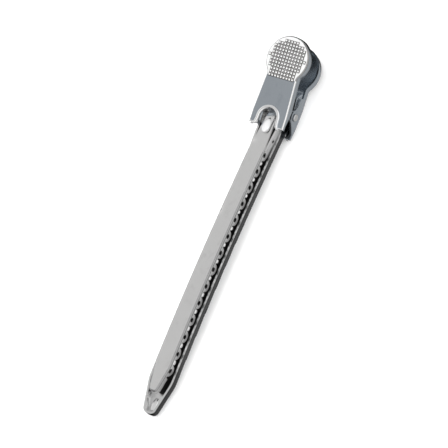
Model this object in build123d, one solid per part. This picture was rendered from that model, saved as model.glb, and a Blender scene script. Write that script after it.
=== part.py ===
from build123d import *
from math import atan2, cos, degrees, radians, sqrt, tan
import os

# A sprung sectioning clip of polished sheet steel. Two long channel-shaped jaws close on each other,
# each carries a pressed thumb plate, a hinge pin joins them, and a bent leaf spring holds them shut.
# Millimetres. While it is built the jaws point along -X, the pin lies on Y through x = 0, and a
# height is counted from the lower jaw's underside. It is laid on its rest plane at the end.

os.makedirs("parts", exist_ok=True)

sheet = 0.5
bow_radius = 570.0
shoulder_softness = 1.1
point_softness = 0.95
wide = 20.0

# upper jaw: a narrow toothed channel, open downwards
upper_half = 2.25
upper_top = 4.55
upper_bend = 0.5
upper_tip = -73.4
upper_nose = 6.5
upper_point = 1.1
tooth_count = 14
tooth_pitch = 4.3
first_tooth = -11.6
tooth_radius = 1.4
tooth_drop = 0.95
tooth_hole = 0.6
notch_drop = 0.9
nose_wall = 1.7
slit_start = -10.6
tail_end = -2.7
ear_half = 2.76
ear_drop = 2.7
ear_hole_x = -7.6
ear_hole_drop = 1.35
ear_hole = 0.4
tail_half = 1.5
step = 0.02
neck_rise = 0.45
neck_run = 1.2
ear_top_end = 0.9
ear_back = 1.45

# lower jaw: a wider plain channel, open upwards, with a longer nose
lower_half = 3.3
lower_wall = 2.4
lower_bend = 0.7
lower_tip = -78.2
lower_nose = 8.0
lower_point = 1.5
jaw_end = 1.7
wall_end = 1.5

# hinge
pin_height = 2.4
pin_radius = 0.6
pin_play = 0.05
upper_ear_radius = 1.5
lower_ear_radius = 1.6
plate_ear_radius = 1.75
ear_run = 5.2
pin_head_radius = 0.95
pin_head = 0.35

# thumb plates
plate_length = 22.4
plate_foot_half = 4.8
plate_waist_half = 4.2
head_radius = 5.7
waist_blend = 1.4
plate_straight = 3.0
plate_bend = 0.45
plate_flange = 2.0
foot_flange = 1.0
foot_run = 1.2
flange_start = 4.5
arch_half = 2.45
arch_height = 4.7
arch_rim = 0.6
arch_lip = 0.3
foot_x = -5.0
upper_plate_rise = 15.0
lower_plate_rise = 10.5
plate_step = 0.95
plate_gap = 0.05
knee_x = 2.6
knee_bend = 10.0

# leaf spring
spring_sheet = 0.45
spring_half = 1.6
drop_half = 1.1
drop_tip = -6.5
drop_end = -2.4
bow_x = 4.6
bow_low = 0.95
bow_high = 5.0
tongue_hole = 0.3


def level(height, x):
    """Z of the curve that runs along the bowed jaws at a height above the lower jaw's underside."""
    return sqrt((bow_radius + height) ** 2 - x ** 2) - bow_radius


def band(low, high, x_start, x_end):
    """Side view of the strip between two heights, bowed with the jaws."""
    middle = (x_start + x_end) / 2
    bottom = ThreePointArc(
        (x_start, level(low, x_start)), (middle, level(low, middle)), (x_end, level(low, x_end))
    )
    top = ThreePointArc(
        (x_end, level(high, x_end)), (middle, level(high, middle)), (x_start, level(high, x_start))
    )
    return make_face([bottom, Line(bottom @ 1, top @ 0), top, Line(top @ 1, bottom @ 0)])


def outline(*corners):
    """Polygon through the given corners, always wound the same way."""
    pairs = zip(corners, corners[1:] + corners[:1])
    area = sum(a[0] * b[1] - b[0] * a[1] for a, b in pairs)
    return Polygon(*(corners if area > 0 else corners[::-1]), align=None)


def across(side_view, half_width=wide):
    """Solid whose side view is the given sketch."""
    return extrude(Plane.XZ * side_view, amount=half_width, both=True)


def above(plan_view, depth=wide):
    """Solid whose plan view is the given sketch."""
    return extrude(plan_view, amount=depth, both=True)


def jaw_plan(half_width, tip, nose, tip_half, end, inset=0.0):
    """Plan of a jaw: straight sides that run into a rounded point."""
    side = half_width - inset
    point = tip + inset
    front = tip_half - inset
    shape = outline(
        (end, -side), (end, side), (tip + nose, side),
        (point, front), (point, -front), (tip + nose, -side),
    )
    shoulders = [v for v in shape.vertices() if abs(v.X - tip - nose) < 0.01]
    shape = fillet(shoulders, radius=nose * shoulder_softness)
    corners = [v for v in shape.vertices() if abs(v.X - point) < 0.01]
    return fillet(corners, radius=front * point_softness)


def round_long_edges(solid, height, radius):
    """Round the edges that run along a jaw, and round its nose, at one height."""
    chosen = []
    for edge in solid.edges():
        middle = edge @ 0.5
        same_start = abs((edge @ 0).Z - level(height, (edge @ 0).X)) < 0.02
        same_end = abs((edge @ 1).Z - level(height, (edge @ 1).X)) < 0.02
        lengthwise = abs(edge.bounding_box().size.X) > 0.05
        if same_start and same_end and lengthwise and abs(middle.Z - level(height, middle.X)) < 0.05:
            chosen.append(edge)
    return fillet(chosen, radius)


def tooth_places():
    return [first_tooth - index * tooth_pitch for index in range(tooth_count)]


def upper_side_view():
    """Side view of the toothed channel: a shallow band with a round lobe at every tooth."""
    view = band(upper_top - notch_drop, upper_top, upper_tip - 1, slit_start)
    for place in tooth_places():
        centre = level(upper_top - tooth_drop, place)
        view += Pos(place, centre) * Circle(tooth_radius)
    nose_start = tooth_places()[-1] - tooth_radius
    return view + band(upper_top - nose_wall, upper_top, upper_tip - 1, nose_start - 0.4)


def ear_plan(inner, outer, root):
    """Plan of one ear: it leaves the flange, spreads outwards and runs on straight to the pin."""
    return outline(
        (slit_start - 1.0, root - sheet + step), (slit_start - 1.0, root - step), (foot_x, outer),
        (3.0, outer), (3.0, inner), (foot_x, inner),
    )


def ear_side_view():
    """Side view of an upper ear: as deep as the teeth, then round about the pin."""
    plate_inside = upper_plate_height(0.0) - foot_flange / cos(radians(upper_plate_rise))
    slope = tan(radians(upper_plate_rise))
    neck = outline(
        (slit_start - 1.0, level(upper_top - ear_drop, slit_start - 1.0)),
        (slit_start - 1.0, level(upper_top - upper_bend, slit_start - 1.0)),
        (foot_x, upper_top - neck_rise),
        (foot_x + neck_run, plate_inside + (foot_x + neck_run) * slope - step),
        (ear_top_end, plate_inside + ear_top_end * slope - step),
        (ear_back, pin_height),
        (0, pin_height - upper_ear_radius),
    )
    return neck + Pos(0, pin_height) * Circle(upper_ear_radius)


def upper_plate_height(x):
    """Height of the upper thumb plate's outer face over a place along the clip."""
    return upper_top + plate_step + (x - foot_x) * tan(radians(upper_plate_rise))


def make_upper_jaw():
    """Toothed channel with a tongue under the thumb plate and two ears on the pin."""
    plan = jaw_plan(upper_half, upper_tip, upper_nose, upper_point, slit_start)
    hollow_plan = jaw_plan(
        upper_half, upper_tip, upper_nose, upper_point, slit_start + 1, inset=sheet
    )
    blank = above(plan) & across(band(0, upper_top, upper_tip - 1, slit_start))
    blank = round_long_edges(blank, upper_top, upper_bend)
    hollow = above(hollow_plan) & across(
        band(-1, upper_top - sheet, upper_tip - 1, slit_start + 1)
    )
    channel = (blank - hollow) & across(upper_side_view())
    tongue_plan = outline(
        (slit_start - 0.5, -upper_half + 0.25), (slit_start - 0.5, upper_half - 0.25),
        (tail_end, tail_half), (tail_end, -tail_half),
    )
    tongue = above(tongue_plan) & across(
        band(upper_top - sheet + step, upper_top - step, slit_start - 0.5, tail_end)
    )
    jaw = channel + tongue
    ears = ear_plan(ear_half - sheet, ear_half, upper_half)
    ears += mirror(ears, about=Plane.XZ)
    jaw += above(ears) & across(ear_side_view())
    for place in tooth_places():
        centre = level(upper_top - tooth_drop, place)
        jaw -= across(Pos(place, centre) * Circle(tooth_hole))
    jaw -= across(Pos(ear_hole_x, level(upper_top - ear_hole_drop, ear_hole_x)) * Circle(ear_hole))
    jaw -= across(Pos(0, pin_height) * Circle(pin_radius + pin_play))
    return jaw


def make_lower_jaw():
    """Plain channel with a long rounded nose, and walls that rise round the pin."""
    plan = jaw_plan(lower_half, lower_tip, lower_nose, lower_point, jaw_end)
    hollow_plan = jaw_plan(
        lower_half, lower_tip, lower_nose, lower_point, jaw_end + 1, inset=sheet
    )
    blank = above(plan) & across(band(0, 6, lower_tip - 1, jaw_end))
    blank = round_long_edges(blank, 0, lower_bend)
    hollow = above(hollow_plan) & across(band(sheet, 8, lower_tip - 1, jaw_end + 1))
    shell = blank - hollow
    rise_start = foot_x - 2.0
    view = band(0, lower_wall, lower_tip - 1, 0)
    view += outline(
        (rise_start, lower_wall - 0.2), (-0.9, pin_height + lower_ear_radius - 0.2),
        (0, pin_height), (wall_end, pin_height), (wall_end, 0.0), (rise_start, 0.0),
    )
    view += Pos(0, pin_height) * Circle(lower_ear_radius)
    jaw = shell & across(view)
    jaw -= Pos(tail_end + 5, 0, 0) * Box(10, 2 * (lower_half - sheet), 2.2)
    jaw -= across(Pos(0, pin_height) * Circle(pin_radius))
    return jaw


def keyhole(inset=0.0):
    """Plan of a thumb plate from its feet at x = 0: a tapering plate under a broad round head."""
    centre = Vector(plate_length - head_radius, 0)
    foot = plate_foot_half - inset
    waist = plate_waist_half - inset
    head = head_radius - inset
    neck = waist_blend + inset
    neck_x = centre.X - sqrt((head + neck) ** 2 - (waist + neck) ** 2)
    neck_centre = Vector(neck_x, waist + neck)
    touch = centre + (neck_centre - centre).normalized() * head
    inside_neck = neck_centre + Vector(0.35, -1).normalized() * neck
    side = [
        Line((inset, foot), (plate_straight, foot)),
        Line((plate_straight, foot), (neck_x, waist)),
        ThreePointArc((neck_x, waist), inside_neck, touch),
    ]
    crown = ThreePointArc(touch, centre + Vector(head, 0), (touch.X, -touch.Y))
    other = [mirror(edge, about=Plane.XZ) for edge in side]
    return make_face(side + [crown] + other + [Line((inset, foot), (inset, -foot))])


def arch(margin=0.0):
    """Plan of the hoop-shaped window between the feet."""
    half = arch_half + margin
    legs = Rectangle(2 * (arch_height - arch_half), 2 * half)
    return legs + Pos(arch_height - arch_half, 0) * Circle(half)


def below_face(depth, knee, drop):
    """Side view of all that lies deeper than a distance under a plate's outer face."""
    end = plate_length + 2
    view = outline(
        (-2, -depth), (knee, -depth), (end, -depth - (end - knee) * tan(radians(drop))),
        (end, -wide), (-2, -wide),
    )
    if drop:
        view = fillet([v for v in view.vertices() if abs(v.X - knee) < 0.01], radius=knee_bend)
    return view


def plate_shell(knee, drop, ear):
    """A thumb plate in its own frame: outer face up, edges turned down, window at its feet."""
    blank = above(keyhole()) & across(below_face(0, knee, drop))
    blank = fillet(outline_edges(blank), plate_bend)
    hollow = above(keyhole(inset=sheet)) & across(below_face(sheet, knee, drop))
    shallow = outline(
        (-1, 1), (-1, -foot_flange), (foot_run, -foot_flange), (flange_start, -plate_flange),
        (flange_start, 1),
    )
    turned = outline(
        (flange_start - 0.1, 1), (plate_length + 1, 1), (plate_length + 1, -wide),
        (flange_start - 0.1, -wide),
    )
    edges_kept = shallow + (turned - below_face(plate_flange, knee, drop)) + ear
    shell = (blank - hollow) & across(edges_kept)
    rim = extrude(arch(arch_rim), amount=-foot_flange) & blank
    shell = shell + rim - above(arch())
    return fillet([e for e in shell.edges() if is_arch_lip(e)], arch_lip)


def outline_edges(solid):
    """Edges round the outer face of a plate, without those between its own facets."""
    faces = [f for f in solid.faces() if f.normal_at(f.center()).Z > 0.8]
    seen = {}
    for face in faces:
        for edge in face.edges():
            place = tuple(round(value, 2) for value in (edge @ 0.5))
            seen.setdefault(place, []).append(edge)
    return [group[0] for group in seen.values() if len(group) == 1]


def is_arch_lip(edge):
    middle = edge @ 0.5
    on_face = all(abs((edge @ place).Z) < 0.01 for place in (0, 0.5, 1))
    inside = middle.X < arch_height + 0.1 and abs(middle.Y) < arch_half + 0.05
    return on_face and inside and edge.length > 0.3


def make_upper_thumb_plate():
    shell = plate_shell(0, 0, Rectangle(0.1, 0.1))
    return Pos(foot_x, 0, upper_top + plate_step) * Rot(0, -upper_plate_rise, 0) * shell


def make_lower_thumb_plate():
    """The lower plate lies flat under the jaw, bends up at a knee, and holds the pin."""
    pin_deep = pin_height + plate_gap + sheet
    pin_along = -foot_x
    ear = outline(
        (foot_run, -foot_flange), (pin_along - 1.5, -pin_deep - 0.9),
        (pin_along + 1.5, -pin_deep - 0.9), (pin_along + ear_run, -plate_flange - 0.6),
        (pin_along + ear_run, -1),
    )
    ear += Pos(pin_along, -pin_deep) * Circle(plate_ear_radius)
    shell = plate_shell(knee_x - foot_x, lower_plate_rise, ear)
    shell -= across(Pos(pin_along, -pin_deep) * Circle(pin_radius))
    seat_length = jaw_end - foot_x + 0.2
    seat = Box(2 * seat_length, 2 * lower_half + 0.2, 8, align=(Align.CENTER, Align.CENTER, Align.MAX))
    shell -= Pos(0, 0, -sheet) * seat
    return Pos(foot_x, 0, -plate_gap - sheet) * Rot(180, 0, 0) * shell


def make_pin():
    """Hinge pin with a low domed head at each end."""
    reach = plate_foot_half
    pin = Cylinder(pin_radius, 2 * reach, rotation=(90, 0, 0))
    head = Cylinder(pin_head_radius, pin_head, align=(Align.CENTER, Align.CENTER, Align.MIN))
    head = fillet(head.edges().sort_by(Axis.Z)[-1], pin_head * 0.8)
    left = Pos(0, reach, 0) * Rot(-90, 0, 0) * head
    right = Pos(0, -reach, 0) * Rot(90, 0, 0) * head
    return Pos(0, 0, pin_height) * (pin + left + right)


def spring_side_view():
    """Side view of the bent strip: two pressing tongues joined by a bow behind the pin."""
    high = upper_top + spring_sheet / 2
    low = -spring_sheet / 2
    middle = (bow_low + bow_high) / 2
    route = FilletPolyline(
        (drop_tip, high), (drop_end, high), (0, high - 0.5), (bow_x + 0.8, bow_high),
        (bow_x + 2.9, middle), (bow_x + 0.8, bow_low), (-0.5, 0.8), (drop_end, low), (drop_tip, low),
        radius=0.9,
    )
    return make_face(offset(route, amount=spring_sheet / 2, side=Side.LEFT).edges())


def make_spring():
    """Leaf spring: a bent strip whose ends narrow to rounded tongues, each with a small hole."""
    neck = drop_end + 0.3
    plan = outline(
        (neck + 1.5, -spring_half), (neck + 1.5, spring_half), (12, spring_half), (12, -spring_half),
    )
    length = neck + 1.6 - drop_tip - drop_half
    plan += Pos(drop_tip + drop_half + length / 2, 0) * Rectangle(length, 2 * drop_half)
    plan += Pos(drop_tip + drop_half, 0) * Circle(drop_half)
    inner = [v for v in plan.vertices() if abs(v.X - neck - 1.5) < 0.01 and abs(v.Y) < drop_half + 0.1]
    plan = fillet(inner, radius=0.5)
    plan -= Pos(drop_end - 0.4, 0) * Circle(tongue_hole)
    return above(plan) & across(spring_side_view())


def place_on_rest_plane(pieces):
    """Tilt the clip so that knee and nose touch the rest plane, then centre it."""
    bend_start = knee_x - knee_bend * tan(radians(lower_plate_rise / 2))
    knee_low = Vector(bend_start, 0, -sheet - plate_gap)
    nose_x = lower_tip + lower_bend
    nose_low = Vector(nose_x, 0, level(0, nose_x))
    tilt = degrees(atan2(knee_low.Z - nose_low.Z, knee_low.X - nose_low.X))
    turned = {name: Rot(0, tilt, 0) * piece for name, piece in pieces.items()}
    boxes = [piece.bounding_box() for piece in turned.values()]
    front = min(box.min.X for box in boxes)
    back = max(box.max.X for box in boxes)
    shift = Pos(-(front + back) / 2, 0, -min(box.min.Z for box in boxes))
    return {name: shift * piece for name, piece in turned.items()}


def main():
    pieces = {
        "upper_jaw": make_upper_jaw(),
        "lower_jaw": make_lower_jaw(),
        "upper_thumb_plate": make_upper_thumb_plate(),
        "lower_thumb_plate": make_lower_thumb_plate(),
        "leaf_spring": make_spring(),
        "hinge_pin": make_pin(),
    }
    for name, piece in place_on_rest_plane(pieces).items():
        export_step(piece, f"parts/{name}.step")


main()
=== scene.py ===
from math import ceil, cos, hypot, pi, radians, sin, sqrt

import bmesh
import bpy
from mathutils import Matrix, Vector


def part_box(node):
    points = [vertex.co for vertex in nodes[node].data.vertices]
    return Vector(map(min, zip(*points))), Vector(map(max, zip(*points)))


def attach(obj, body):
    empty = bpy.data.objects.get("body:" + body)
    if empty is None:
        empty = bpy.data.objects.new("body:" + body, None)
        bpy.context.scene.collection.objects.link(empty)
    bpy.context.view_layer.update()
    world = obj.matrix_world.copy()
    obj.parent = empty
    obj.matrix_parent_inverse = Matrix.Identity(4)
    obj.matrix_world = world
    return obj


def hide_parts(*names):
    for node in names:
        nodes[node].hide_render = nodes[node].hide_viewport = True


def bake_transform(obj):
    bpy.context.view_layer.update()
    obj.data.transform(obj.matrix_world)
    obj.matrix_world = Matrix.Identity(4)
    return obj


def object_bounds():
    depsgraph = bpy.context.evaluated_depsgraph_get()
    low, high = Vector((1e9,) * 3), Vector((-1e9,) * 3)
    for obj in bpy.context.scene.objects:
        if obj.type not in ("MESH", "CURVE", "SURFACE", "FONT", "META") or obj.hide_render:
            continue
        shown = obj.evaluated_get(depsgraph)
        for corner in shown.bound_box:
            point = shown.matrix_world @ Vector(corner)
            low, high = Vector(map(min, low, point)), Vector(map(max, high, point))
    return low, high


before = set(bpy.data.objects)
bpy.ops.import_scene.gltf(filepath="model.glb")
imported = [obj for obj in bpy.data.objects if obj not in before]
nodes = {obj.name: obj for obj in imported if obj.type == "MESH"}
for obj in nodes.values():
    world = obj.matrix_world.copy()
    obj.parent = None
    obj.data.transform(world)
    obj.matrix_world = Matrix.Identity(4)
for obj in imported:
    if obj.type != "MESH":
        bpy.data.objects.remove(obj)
cad_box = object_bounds()

MM = 0.001

# Sizes in millimetres, as the clip was drawn: the pin lies across it at x = 0, the jaws point along
# -X, and heights count from the lower jaw's underside along a bow of large radius.
REST_TILT = radians(3.428)
BOW_RADIUS = 570.0
PIN_HEIGHT = 2.4
UPPER_HALF = 2.25
UPPER_TOP = 4.55
FIRST_TOOTH = -11.6
TOOTH_PITCH = 4.3
TOOTH_COUNT = 14
UPPER_TIP = -73.4
LIP_DROP = 1.12
PLATE_LENGTH = 22.4
HEAD_RADIUS = 5.7
WAIST_HALF = 4.2
ARCH_HALF = 2.45
ARCH_HEIGHT = 4.7
FEET = -5.0
KNURL_PITCH = 0.8
KNURL_PAD = 0.78
KNURL_RISE = 0.14
KNURL_END = PLATE_LENGTH - 1.1
KNURL_LENGTH = 9.2
KNURL_MARGIN = 0.5
BEAD_RADIUS = 0.42
LOWER_BEAD_SINK = 0.3
# Each step down a leg of the bead: along the plate, away from the middle, up, and the girth as a
# share of the step before.
BEAD_LEG = (
    (-0.9, 0.05, 0.0, 1.0), (-0.8, 0.2, 0.02, 1.02), (-0.5, 0.4, 0.06, 0.95),
    (-0.2, 0.45, 0.1, 0.75), (-0.02, 0.2, 0.05, 0.45),
)
LIP_SIZE = (0.46, 0.26, 0.34)
RIM_LEVEL = 2.1
NOSE_BOSS = (1.9, 0.9, 0.5)
NOSE_BOSS_AT = -75.6
LOWER_SHEET_TOP = 0.5
SPRING_DOME = (1.75, 0.98, 0.2)
SPRING_DOME_AT = -4.7
SPRING_FACE = 0.44
DROP_ROOT = 0.05

# Shares and counts: a knurl square's top against its foot, how much of the bead's radius covers the
# window's edge, how much the lips grow towards the tip, and the slices that the spring is cut into.
KNURL_PAD_TOP = 0.56
BEAD_OVERLAP = 0.25
LIP_GROWTH = 0.6
SPRING_SLICES = 12

# How meshes are cleaned and smoothed: the gap that merges, and angles in degrees.
MERGE_GAP = 0.002 * MM
COPLANAR = 0.2
CUT_EDGE = 42
SMOOTH_EDGE = 28

# Faces are told apart by how squarely they look along an axis, from 0 to 1. A bend lies between
# the two values of its pair.
PLATE_BEND = (0.12, 0.965)
JAW_BEND = (0.1, 0.975)
TOOTH_FACE = 0.8
LEVEL_FACE = 0.75
FLOOR_FACE = 0.5
INWARD_FACE = 0.2


# ---------------------------------------------------------------- shader maths

class Value:
    """A socket in a node tree that can be used in ordinary sums."""

    def __init__(self, shop, socket):
        self.shop = shop
        self.socket = socket

    def sum_with(self, operation, other):
        return self.shop.node("ShaderNodeMath", {"operation": operation}, (self, other))

    def __add__(self, other):
        return self.sum_with("ADD", other)

    def __mul__(self, other):
        return self.sum_with("MULTIPLY", other)

    __radd__ = __add__
    __rmul__ = __mul__

    def clipped(self):
        return self.shop.node(
            "ShaderNodeClamp", {"clamp_type": "MINMAX"}, {"Value": self, "Min": 0.0, "Max": 1.0}
        )


class Workshop:
    """One node tree under construction."""

    def __init__(self, tree):
        self.tree = tree
        tree.nodes.clear()

    def node(self, kind, settings=None, sockets=None, output=0):
        """Adds a node, sets it up, wires its sockets and hands back one of its outputs."""
        made = self.tree.nodes.new(kind)
        for key, setting in (settings or {}).items():
            if key == "stops":
                fill_ramp(made.color_ramp, setting)
            else:
                setattr(made, key, setting)
        named = sockets.items() if isinstance(sockets, dict) else enumerate(sockets or ())
        for key, given in named:
            if isinstance(given, Value):
                self.tree.links.new(given.socket, made.inputs[key])
            else:
                made.inputs[key].default_value = given
        return Value(self, made.outputs[output]) if made.outputs else None

    def between(self, low, high, source):
        """Turns a range of a value into 0 to 1."""
        return self.node(
            "ShaderNodeMapRange", {"clamp": True},
            {"Value": source, "From Min": low, "From Max": high, "To Min": 0.0, "To Max": 1.0},
        )

    def mix(self, amount, first, second):
        """Blends two colours; the numbers are the node's colour sockets."""
        sockets = {0: amount, 6: first, 7: second}
        return self.node("ShaderNodeMix", {"data_type": "RGBA"}, sockets, output=2)


class Finish(Workshop):
    """One material under construction."""

    def __init__(self, name):
        self.material = bpy.data.materials.new(name)
        self.material.use_nodes = True
        super().__init__(self.material.node_tree)

    def noise(self, scale, detail, stretch=(1, 1, 1)):
        """Soft random field from 0 to 1; a stretch below 1 draws it out along that axis."""
        place = self.node("ShaderNodeTexCoord", output="Object")
        drawn = self.node(
            "ShaderNodeMapping", {"vector_type": "POINT"}, {"Vector": place, "Scale": stretch}
        )
        return self.node(
            "ShaderNodeTexNoise", {}, {"Vector": drawn, "Scale": scale, "Detail": detail}
        )

    def bump(self, height, distance, strength):
        return self.node(
            "ShaderNodeBump", {}, {"Height": height, "Distance": distance, "Strength": strength}
        )

    def metal(self, colour, roughness, normal, shine):
        """Ends the material as metal: a shine of 1 is bare metal, less of it is satin."""
        return self.skin({
            "Base Color": colour, "Metallic": shine, "Roughness": roughness, "Normal": normal,
        })

    def skin(self, sockets):
        surface = self.node("ShaderNodeBsdfPrincipled", {}, sockets)
        self.node("ShaderNodeOutputMaterial", {}, {"Surface": surface})
        return self.material


def fill_ramp(ramp, stops):
    """Sets a ramp's stops, each a position and a colour."""
    while len(ramp.elements) < len(stops):
        ramp.elements.new(0.5)
    for element, (position, colour) in zip(ramp.elements, stops):
        element.position = position
        element.color = colour


def grey(level, warm=0.0):
    """A grey, in linear light, that a little warmth makes redder."""
    return (level + warm, level, level - warm, 1.0)


def polished_steel(name, clean, worn, smooth, rough, shine=1.0):
    """Plated sheet: faint rolling marks along the clip, hazy patches and small stains."""
    finish = Finish(name)
    haze = finish.noise(140.0, 4.0)
    stains = finish.between(0.56, 0.72, finish.noise(420.0, 5.0))
    rolled = finish.noise(900.0, 2.0, stretch=(0.06, 1.0, 1.0))
    orange_peel = finish.noise(1300.0, 1.0)
    colour = finish.mix((haze * 0.6 + stains * 0.4).clipped(), clean, worn)
    roughness = (haze * (rough - smooth) + smooth + stains * 0.05 + rolled * 0.03).clipped()
    height = rolled * 0.6 + orange_peel * 0.4
    return finish.metal(colour, roughness, finish.bump(height, 0.004 * MM, 0.6), shine)


# ---------------------------------------------------------------- places on the clip

pin_low, pin_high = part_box("hinge_pin")
pin_centre = (Vector(pin_low) + Vector(pin_high)) / 2


def on_clip(along, across, height):
    """A place on the bowed jaws, in the frame's metres, from the clip's own millimetres."""
    level = sqrt((BOW_RADIUS + height) ** 2 - along ** 2) - BOW_RADIUS
    rise = level - PIN_HEIGHT
    turned = Vector((
        along * cos(REST_TILT) + rise * sin(REST_TILT), across,
        rise * cos(REST_TILT) - along * sin(REST_TILT),
    ))
    return Vector((pin_centre.x, 0, pin_centre.z)) + turned * MM


def plate_face(node, facing, at_head):
    """Origin and axes of a plate's flat outer face: along the plate, across it, and outwards.

    A plate bends at its knee, so its head end and its foot end each have a face of their own.
    """
    low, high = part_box(node)
    share, side = (0.6, 1) if at_head else (0.2, -1)
    limit = low[0] + (high[0] - low[0]) * share
    flat = [
        face for face in nodes[node].data.polygons
        if face.normal.z * facing > 0.96 and (face.center.x - limit) * side > 0
    ]
    widest = max(flat, key=lambda face: face.area)
    out = widest.normal.copy()
    across = Vector((0, facing, 0))
    return widest.center.copy(), across.cross(out).normalized(), across, out


def slid_to(face, point):
    """The same face, with its origin moved along the plate and to the middle of the clip."""
    origin, along, across, out = face
    moved = origin + along * (point - origin).dot(along)
    moved.y = 0
    return moved, along, across, out


# ---------------------------------------------------------------- modelling helpers

def activate(*pieces):
    """Selects only these pieces and makes the first one active."""
    bpy.ops.object.select_all(action="DESELECT")
    for piece in pieces:
        piece.select_set(True)
    bpy.context.view_layer.objects.active = pieces[0]


def start(name, primitive, **shape):
    """Adds a primitive, with nothing else selected, and names it."""
    bpy.ops.object.select_all(action="DESELECT")
    primitive(**shape)
    piece = bpy.context.object
    piece.name = piece.data.name = name
    return piece


def open_edit(piece):
    """Edit mode on one piece, with all of it selected."""
    activate(piece)
    bpy.ops.object.mode_set(mode="EDIT")
    bpy.ops.mesh.select_all(action="SELECT")


def close_edit():
    bpy.ops.object.mode_set(mode="OBJECT")


def coat(piece, *materials):
    for material in materials:
        piece.data.materials.append(material)


def pick(test, kind="VERT"):
    """In edit mode, selects what passes the test and nothing else."""
    bpy.ops.mesh.select_all(action="DESELECT")
    bpy.ops.mesh.select_mode(type=kind)
    mesh = bpy.context.edit_object.data
    work = bmesh.from_edit_mesh(mesh)
    parts = {"VERT": work.verts, "EDGE": work.edges, "FACE": work.faces}[kind]
    for part in parts:
        if test(part):
            part.select_set(True)
    work.select_flush(True)
    bmesh.update_edit_mesh(mesh)


def apply_place(piece):
    activate(piece)
    bpy.ops.object.transform_apply(location=True, rotation=True, scale=True)


def apply_modifiers(piece):
    activate(piece)
    for modifier in list(piece.modifiers):
        bpy.ops.object.modifier_apply(modifier=modifier.name)


def copy_to(piece, place):
    """A copy with a mesh of its own, at a new place."""
    twin = piece.copy()
    twin.data = piece.data.copy()
    bpy.context.scene.collection.objects.link(twin)
    twin.location = place
    return twin


def join(*pieces):
    """Makes one piece of several; it keeps the first one's name."""
    activate(*pieces)
    bpy.ops.object.join()
    return bpy.context.object


def lay_on(piece, face):
    """Moves a piece that was modelled flat, along +X, on to a plate's outer face."""
    origin, along, across, out = face
    turned = Matrix((along, across, out)).transposed().to_4x4()
    piece.matrix_world = Matrix.Translation(origin) @ turned
    apply_place(piece)


def softened_copy(node, name, edge):
    """The pressed sheet with its cut edges rubbed round, as tumbling leaves them."""
    piece = bpy.data.objects.new(name, nodes[node].data.copy())
    bpy.context.scene.collection.objects.link(piece)
    open_edit(piece)
    bpy.ops.mesh.remove_doubles(threshold=MERGE_GAP)
    bpy.ops.mesh.dissolve_limited(angle_limit=radians(COPLANAR))
    close_edit()
    rub = piece.modifiers.new("rub", "BEVEL")
    rub.width = edge * MM
    rub.segments = 2
    rub.limit_method = "ANGLE"
    rub.angle_limit = radians(CUT_EDGE)
    rub.use_clamp_overlap = True
    apply_modifiers(piece)
    piece.data.materials.clear()
    return piece


def finish_piece(piece, body, slot, *replaced):
    """Smooths a piece, ties it to the body it rides on and hides the parts that it replaces.

    With no body the piece isn't tied to one, which is what a blend between two bodies needs. The
    slot is not used.
    """
    activate(piece)
    bpy.ops.object.shade_smooth_by_angle(angle=radians(SMOOTH_EDGE))
    if body:
        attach(piece, body)
    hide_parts(*replaced)


# ---------------------------------------------------------------- thumb plates

def knurl_pad():
    """One raised square of the knurl, with sloping sides."""
    size = KNURL_PAD * MM
    rise = KNURL_RISE * MM
    sunk = 0.01 * MM
    pad = start(
        "knurl_pad", bpy.ops.mesh.primitive_cube_add,
        size=1, location=(0, 0, rise / 2 - sunk), scale=(size, size, rise),
    )
    apply_place(pad)
    open_edit(pad)
    pick(lambda face: face.normal.z > 0.9, "FACE")
    bpy.ops.transform.resize(value=(KNURL_PAD_TOP, KNURL_PAD_TOP, 1))
    close_edit()
    # Painted shade: the sloping sides of each square are painted near black; the tops are satin.
    coat(pad, satin_steel, painted_shade_groove_steel)
    for face in pad.data.polygons:
        face.material_index = 0 if face.normal.z > 0.9 else 1
    return pad


def inside_head(along, across, margin):
    """Whether a place on a plate lies inside its outline, at least a margin from the edge."""
    centre = PLATE_LENGTH - HEAD_RADIUS
    in_head = hypot(along - centre, across) < HEAD_RADIUS - margin
    in_waist = along < centre and abs(across) < WAIST_HALF - margin
    return in_head or in_waist


def knurl():
    """The field of raised squares that covers a head, down to the waist."""
    pad = knurl_pad()
    rows = ceil(KNURL_LENGTH / KNURL_PITCH)
    columns = ceil(HEAD_RADIUS / KNURL_PITCH)
    reach = KNURL_PAD / 2 + KNURL_MARGIN
    pads = []
    for row in range(rows):
        along = KNURL_END - (row + 0.5) * KNURL_PITCH
        for column in range(-columns, columns + 1):
            across = column * KNURL_PITCH
            if inside_head(along, across, reach):
                pads.append(copy_to(pad, (along * MM, across * MM, 0)))
    bpy.data.objects.remove(pad)
    field = join(*pads)
    apply_place(field)
    return field


def arch_bead():
    """The rolled rim of the window: a half ring with two legs whose ends turn outwards."""
    radius = (ARCH_HALF + (1 - BEAD_OVERLAP) * BEAD_RADIUS) * MM
    middle = (ARCH_HEIGHT - ARCH_HALF) * MM
    bead = start(
        "arch_bead", bpy.ops.mesh.primitive_circle_add, vertices=14, radius=BEAD_RADIUS * MM,
        location=(middle, -radius, 0), rotation=(0, radians(90), 0),
    )
    apply_place(bead)
    open_edit(bead)
    bpy.ops.mesh.spin(steps=24, angle=-pi, center=(middle, 0, 0), axis=(0, 0, 1))
    bpy.ops.mesh.select_all(action="SELECT")
    bpy.ops.mesh.remove_doubles(threshold=MERGE_GAP / 2)
    for side in (-1, 1):
        pick(lambda vert: vert.is_boundary and vert.co.y * side > 0)
        for along, across, lift, size in BEAD_LEG:
            move = (along * MM, across * side * MM, lift * MM)
            bpy.ops.mesh.extrude_region_move(TRANSFORM_OT_translate={"value": move})
            bpy.ops.transform.resize(value=(size, size, size))
        bpy.ops.mesh.edge_face_add()
    bpy.ops.mesh.select_all(action="SELECT")
    bpy.ops.mesh.normals_make_consistent(inside=False)
    close_edit()
    # Painted highlight: the bead is painted near white.
    coat(bead, painted_highlight_steel)
    return bead


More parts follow.
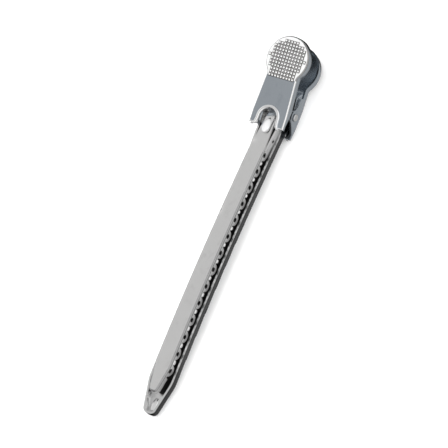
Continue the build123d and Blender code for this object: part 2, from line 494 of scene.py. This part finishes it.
def thumb_plate(node, name, body, facing):
    """A knurled pressing with a rolled rim round its window."""
    plate = softened_copy(node, name, edge=0.05)
    head_face = plate_face(node, facing, at_head=True)
    _, along, _, out = head_face
    crown = max((vert.co for vert in nodes[node].data.vertices), key=along.dot)
    head_face = slid_to(head_face, crown - along * PLATE_LENGTH * MM)
    field = knurl()
    lay_on(field, head_face)
    feet = on_clip(FEET, 0, UPPER_TOP if facing > 0 else 0)
    bead = arch_bead()
    if facing < 0:
        bead.location.z = -LOWER_BEAD_SINK * MM
        apply_place(bead)
    lay_on(bead, slid_to(plate_face(node, facing, at_head=False), feet))
    waist = head_face[0] + along * (KNURL_END - KNURL_LENGTH) * MM
    open_edit(plate)
    bpy.ops.mesh.bisect(plane_co=waist, plane_no=along)
    close_edit()
    coat(plate, plate_steel, painted_highlight_steel, satin_steel, painted_shade_bend_steel)
    for face in plate.data.polygons:
        facing_out = face.normal.dot(out)
        on_bend = PLATE_BEND[0] < facing_out < PLATE_BEND[1]
        on_head = (face.center - waist).dot(along) > 0
        if on_bend:
            # Painted light on the bends: painted shade round the head, painted highlight elsewhere.
            face.material_index = 3 if on_head else 1
        elif facing_out > PLATE_BEND[1] and on_head:
            face.material_index = 2
    plate = join(plate, field, bead)
    finish_piece(plate, body, "plate_steel", node)


# ---------------------------------------------------------------- jaws

def notch_lip():
    """The pressed lip between two teeth, in bright steel as a painted highlight."""
    lip = start(
        "notch_lip", bpy.ops.mesh.primitive_uv_sphere_add, segments=16, ring_count=10, radius=1
    )
    coat(lip, painted_highlight_steel)
    lip.scale = Vector(LIP_SIZE) * MM
    apply_place(lip)
    return lip


def upper_jaw():
    """Toothed channel, with a pressed lip in every notch; the lips grow towards the tip."""
    jaw = softened_copy("upper_jaw", "upper_jaw_sheet", edge=0.06)
    lip = notch_lip()
    lips = []
    for index in range(TOOTH_COUNT - 1):
        along = FIRST_TOOTH - (index + 0.5) * TOOTH_PITCH
        growth = 1 + LIP_GROWTH * (index / TOOTH_COUNT) ** 2
        for side in (-1, 1):
            twin = copy_to(lip, on_clip(along, side * UPPER_HALF, UPPER_TOP - LIP_DROP))
            twin.scale = (growth, 1, growth)
            apply_place(twin)
            lips.append(twin)
    bpy.data.objects.remove(lip)
    coat(jaw, jaw_steel, painted_shade_bend_steel, painted_shade_tooth_steel)
    for face in jaw.data.polygons:
        outward = face.normal.y * face.center.y > 0
        # Painted shade: the bends are painted darker grey than the face.
        if JAW_BEND[0] < face.normal.z < JAW_BEND[1]:
            face.material_index = 1
        # Painted shade: the outward tooth flanges get a darker, less mirror-like steel.
        elif outward and abs(face.normal.y) > TOOTH_FACE:
            face.material_index = 2
    jaw = join(jaw, *lips)
    finish_piece(jaw, "upper_arm", "jaw_steel", "upper_jaw")


def lower_jaw():
    """Plain channel: bright rim, walls painted dark and an inside painted near black, both painted
    shade.
    """
    jaw = softened_copy("lower_jaw", "lower_jaw_sheet", edge=0.07)
    coat(jaw, rim_steel, painted_shade_wall_steel, painted_shade_inner_steel)
    upper_tip = on_clip(UPPER_TIP, 0, 0)
    # Painted shade: the steep walls get dark steel, and the inside under the upper jaw gets
    # near-black steel.
    for face in jaw.data.polygons:
        centre, normal = face.center, face.normal
        rim_level = on_clip((centre.x - pin_centre.x) / MM, 0, RIM_LEVEL).z
        inward = abs(normal.y) > INWARD_FACE and normal.y * centre.y < 0
        under_jaw = centre.x > upper_tip.x
        if under_jaw and centre.z < rim_level and (inward or normal.z > FLOOR_FACE):
            face.material_index = 2
        elif abs(normal.z) < LEVEL_FACE and (under_jaw or not inward):
            face.material_index = 1
    # Painted highlight: the nose boss is painted near white.
    boss = pressed_drop(NOSE_BOSS, NOSE_BOSS_AT, LOWER_SHEET_TOP, 1, painted_highlight_steel)
    jaw = join(jaw, boss)
    finish_piece(jaw, "lower_arm", "jaw_steel", "lower_jaw")


# ---------------------------------------------------------------- spring and pin

def pressed_drop(size, along, height, out, steel):
    """A long dome pressed out of the sheet, on the clip's middle line."""
    drop = start(
        "pressed_drop", bpy.ops.mesh.primitive_uv_sphere_add,
        segments=24, ring_count=12, radius=1,
    )
    drop.scale = Vector(size) * MM
    apply_place(drop)
    coat(drop, steel)
    open_edit(drop)
    bpy.ops.mesh.bisect(
        plane_co=(0, 0, -DROP_ROOT * MM), plane_no=(0, 0, 1), use_fill=True, clear_inner=True
    )
    close_edit()
    drop.rotation_euler = (0 if out > 0 else pi, REST_TILT, 0)
    drop.location = on_clip(along, 0, height)
    apply_place(drop)
    return drop


def leaf_spring():
    """Bent strip with a domed tongue at each end, cut into slices so that its bow bends well."""
    spring = softened_copy("leaf_spring", "spring_strip", edge=0.08)
    low, high = (Vector(corner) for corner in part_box("leaf_spring"))
    open_edit(spring)
    for step in range(1, SPRING_SLICES):
        height = low.z + (high.z - low.z) * step / SPRING_SLICES
        bpy.ops.mesh.select_all(action="SELECT")
        bpy.ops.mesh.bisect(plane_co=(0, 0, height), plane_no=(0, 0, 1))
    close_edit()
    coat(spring, spring_steel)
    upper = pressed_drop(SPRING_DOME, SPRING_DOME_AT, UPPER_TOP + SPRING_FACE, 1, satin_steel)
    lower = pressed_drop(SPRING_DOME, SPRING_DOME_AT, -SPRING_FACE, -1, satin_steel)
    spring = join(spring, upper, lower)
    finish_piece(spring, None, "spring_steel", "leaf_spring")
    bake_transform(spring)


def hinge_pin():
    """Plain wire pin with its ends rubbed round."""
    pin = softened_copy("hinge_pin", "pin_wire", edge=0.05)
    coat(pin, pin_steel)
    finish_piece(pin, "lower_arm", "pin_steel", "hinge_pin")


# ---------------------------------------------------------------- stage, light and camera

def stage_floor():
    """Pale paper just under the clip, which the polished metal doesn't mirror."""
    gap = 0.02 * MM
    floor = start("floor", bpy.ops.mesh.primitive_plane_add, size=4.0, location=(0, 0, -gap))
    finish = Finish("floor_paper")
    speck = finish.noise(300.0, 2.0)
    colour = finish.mix(speck, grey(0.93), grey(0.96))
    coat(floor, finish.skin({"Base Color": colour, "Roughness": 0.9, "Specular IOR Level": 0.1}))
    floor.visible_glossy = False


def soft_light(name, place, size, power):
    """A soft light that faces the clip. Polished metal mirrors the room, but not the lamps."""
    lamp = bpy.data.lights.new(name, "AREA")
    lamp.shape = "RECTANGLE"
    lamp.size = size[0]
    lamp.size_y = size[1]
    lamp.energy = power
    holder = bpy.data.objects.new(name, lamp)
    bpy.context.scene.collection.objects.link(holder)
    holder.location = place
    holder.rotation_euler = (-Vector(place)).to_track_quat("-Z", "Y").to_euler()
    holder.visible_glossy = False


def room_light():
    """A room of grey and white bands from side to side, over a table with bands of its own."""
    world = bpy.data.worlds.new("room")
    bpy.context.scene.world = world
    world.use_nodes = True
    room = Workshop(world.node_tree)
    where = room.node("ShaderNodeTexCoord", output="Generated")
    side = room.node("ShaderNodeSeparateXYZ", {}, {"Vector": where}, output="Y")
    height = room.node("ShaderNodeSeparateXYZ", {}, {"Vector": where}, output="Z")
    sideways = room.between(-1.0, 1.0, side)
    above_table = room.between(-TABLE_EDGE, TABLE_EDGE, height)
    below, above = (
        room.node("ShaderNodeValToRGB", {"stops": bands}, {"Fac": sideways})
        for bands in (TABLE_BANDS, ROOM_BANDS)
    )
    sky = room.node(
        "ShaderNodeBackground", {}, {"Color": room.mix(above_table, below, above)}
    )
    room.node("ShaderNodeOutputWorld", {}, {"Surface": sky})


# Brightness from the camera's side of the room (0) across to the far side (1), above and below,
# and how softly the two meet.
ROOM_BANDS = (
    (0.00, grey(1.0)), (0.30, grey(1.0)), (0.40, grey(0.60)), (0.88, grey(0.60)),
    (0.94, grey(1.0)), (1.00, grey(1.0)),
)
TABLE_BANDS = (
    (0.00, grey(0.30)), (0.12, grey(0.55)), (0.38, grey(0.55)), (0.50, grey(0.03)),
    (0.72, grey(0.03)), (0.86, grey(0.85)), (1.00, grey(0.95)),
)
TABLE_EDGE = 0.06

CAMERA_AZIMUTH = -19.5
CAMERA_ELEVATION = 59.0
CAMERA_LEAN = 23.8
CAMERA_DISTANCE = 0.5
FRAME_HEIGHT = 0.106
SENSOR_WIDTH = 36.0


def set_camera():
    """Looks down on the clip from its jaw side, with the clip leaning to the right of upright."""
    turn, rise = radians(CAMERA_AZIMUTH), radians(CAMERA_ELEVATION)
    back = Vector((sin(turn) * cos(rise), -cos(turn) * cos(rise), sin(rise)))
    along = Vector((1, 0, 0))
    up_the_clip = (along - back * along.dot(back)).normalized()
    upright = Matrix.Rotation(radians(CAMERA_LEAN), 3, back) @ up_the_clip
    right = upright.cross(back)
    low, high = Vector(cad_box[0]), Vector(cad_box[1])
    middle = (low + high) / 2
    turned = Matrix((right, upright, back)).transposed()
    lens = bpy.data.cameras.new("camera")
    lens.sensor_width = SENSOR_WIDTH
    lens.lens = SENSOR_WIDTH * CAMERA_DISTANCE / FRAME_HEIGHT
    lens.clip_start = 0.01
    camera = bpy.data.objects.new("camera", lens)
    camera.matrix_world = Matrix.Translation(middle + back * CAMERA_DISTANCE) @ turned.to_4x4()
    bpy.context.scene.collection.objects.link(camera)
    bpy.context.scene.camera = camera


bpy.context.scene.view_settings.view_transform = "Standard"
set_camera()
stage_floor()
room_light()
soft_light("overhead", (0.1, 0.25, 0.9), (0.7, 0.7), 7.0)
soft_light("left_panel", (-0.15, 0.8, 0.35), (0.7, 0.4), 4.0)
soft_light("right_panel", (0.1, -0.75, 0.45), (0.7, 0.4), 4.0)

jaw_steel = polished_steel("jaw_steel", grey(0.88, 0.004), grey(0.76, 0.006), 0.12, 0.2)
rim_steel = polished_steel("rim_steel", grey(0.84), grey(0.7), 0.16, 0.26)
# Painted shade: dark steel for the lower jaw's walls.
painted_shade_wall_steel = polished_steel("painted_shade_wall_steel", grey(0.09), grey(0.05), 0.14, 0.24)
# Painted shade: darker grey steel for the bends of the upper jaw and round the plates' heads.
painted_shade_bend_steel = polished_steel("painted_shade_bend_steel", grey(0.42), grey(0.36), 0.14, 0.22)
satin_steel = polished_steel("satin_steel", grey(0.66), grey(0.58), 0.30, 0.40, shine=0.3)
# Painted shade: a darker, less mirror-like copy of the steel for the tooth flanges.
painted_shade_tooth_steel = polished_steel("painted_shade_tooth_steel", grey(0.37), grey(0.31), 0.36, 0.46, shine=0.3)
# Painted highlight: near-white steel for the plate bends, window bead, notch lips and nose boss.
painted_highlight_steel = polished_steel("painted_highlight_steel", grey(0.97), grey(0.88), 0.12, 0.22)
# Painted shade: near-black steel for the knurl's sloping sides, as shade in the grooves.
painted_shade_groove_steel = polished_steel("painted_shade_groove_steel", grey(0.10, 0.01), grey(0.05), 0.25, 0.4)
# Painted shade: near-black steel for the inside of the lower jaw.
painted_shade_inner_steel = polished_steel("painted_shade_inner_steel", grey(0.05), grey(0.03), 0.3, 0.45)
plate_steel = polished_steel(
    "plate_steel", (0.48, 0.52, 0.56, 1), (0.40, 0.44, 0.48, 1), 0.10, 0.18
)
spring_steel = polished_steel("spring_steel", grey(0.95), grey(0.86), 0.16, 0.26)
pin_steel = polished_steel("pin_steel", grey(0.7), grey(0.55), 0.14, 0.24)

upper_jaw()
lower_jaw()
thumb_plate("upper_thumb_plate", "upper_plate_pressing", "upper_arm", 1)
thumb_plate("lower_thumb_plate", "lower_plate_pressing", "lower_arm", -1)
leaf_spring()
hinge_pin()
